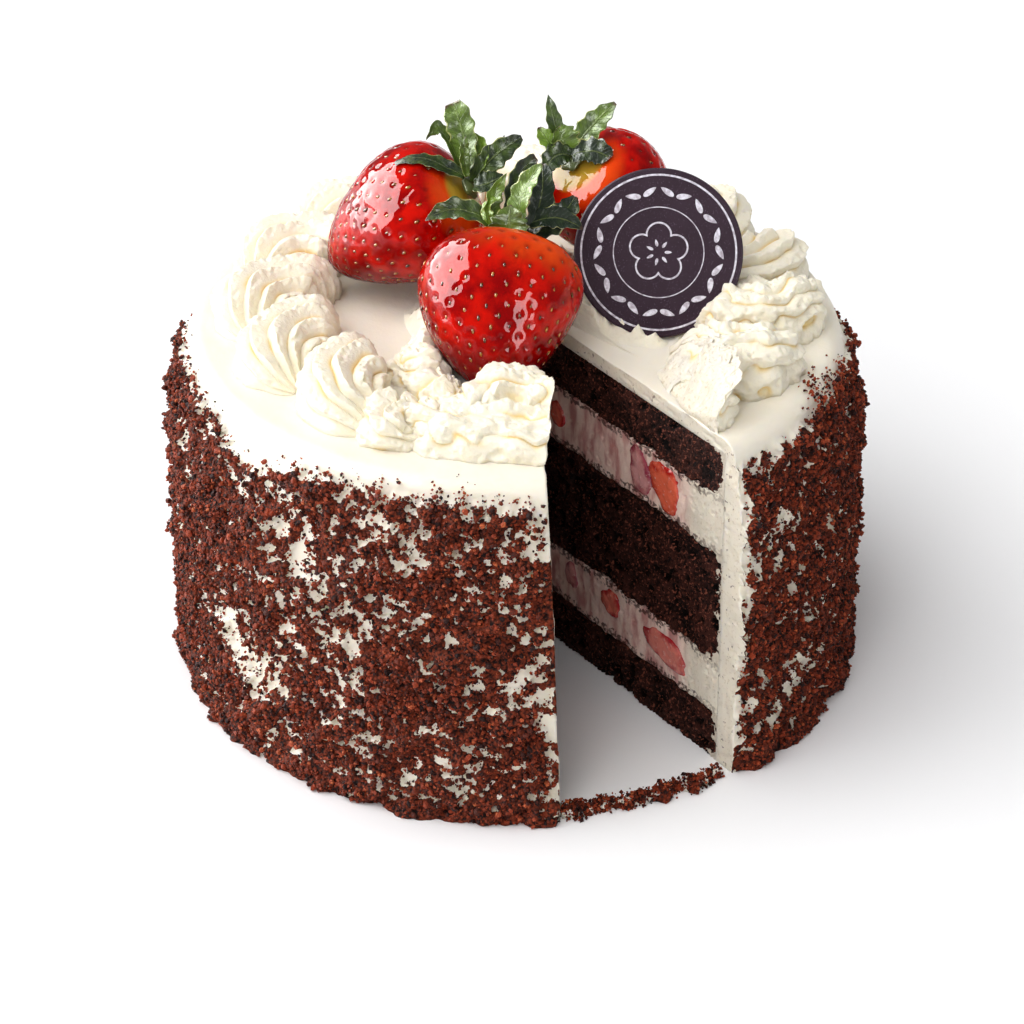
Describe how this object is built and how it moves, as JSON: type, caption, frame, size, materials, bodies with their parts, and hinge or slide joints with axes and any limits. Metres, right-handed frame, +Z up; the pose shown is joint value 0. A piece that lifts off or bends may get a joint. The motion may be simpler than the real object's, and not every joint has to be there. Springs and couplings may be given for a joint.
{
  "type": "layered chocolate strawberry cream cake with a slice cut out",
  "caption": "Round layered chocolate sponge and cream cake with crumb-coated side, piped swirls, strawberries and a chocolate disc on top, and a wedge slot where a slice was cut out.",
  "frame": {"origin": "centre of the cake's round base, on the surface it stands on", "axes": "+Z up along the cake's axis; the mouth of the cut faces -Y, a little towards +X; +X to the right of the picture's view"},
  "size_m": [0.189, 0.1884, 0.1521],
  "materials": {
    "whipped_cream": "soft matt whipped cream with fine bubbles",
    "crumb_coat": "rough red-brown chocolate crumbs",
    "chocolate_sponge": "dark porous chocolate sponge",
    "strawberry_cream": "cream smeared with strawberry juice and crumbs",
    "cut_strawberry": "wet cut strawberry",
    "strawberry_skin": "glossy dimpled strawberry skin",
    "calyx_leaf": "green leaf with pale edges",
    "dark_chocolate": "dark moulded chocolate, satin"
  },
  "bodies": {
    "root": {"frosting": "whipped_cream", "sponge_bottom": "chocolate_sponge", "filling_lower": "strawberry_cream", "sponge_middle": "chocolate_sponge", "filling_upper": "strawberry_cream", "sponge_top": "chocolate_sponge", "coat_remnant": "crumb_coat", "fruit_right_1": "cut_strawberry", "fruit_right_2": "cut_strawberry", "fruit_right_3": "cut_strawberry", "fruit_right_4": "cut_strawberry", "fruit_right_5": "cut_strawberry", "fruit_right_6": "cut_strawberry", "fruit_left_1": "cut_strawberry", "fruit_left_2": "cut_strawberry", "fruit_left_3": "cut_strawberry", "fruit_left_4": "cut_strawberry", "strawberry_front": "strawberry_skin", "strawberry_left": "strawberry_skin", "strawberry_back": "strawberry_skin", "calyx_front": "calyx_leaf", "calyx_left": "calyx_leaf", "calyx_back": "calyx_leaf", "chocolate_disc": "dark_chocolate", "cream_mound": "whipped_cream", "swirl_01": "whipped_cream", "swirl_02": "whipped_cream", "swirl_03": "whipped_cream", "swirl_04": "whipped_cream", "swirl_05": "whipped_cream", "swirl_06": "whipped_cream", "swirl_07": "whipped_cream", "swirl_08": "whipped_cream", "swirl_09": "whipped_cream", "swirl_10": "whipped_cream", "swirl_11": "whipped_cream", "swirl_12": "whipped_cream", "swirl_13": "whipped_cream", "swirl_14": "whipped_cream", "swirl_15": "whipped_cream"}
  },
  "joints": []
}
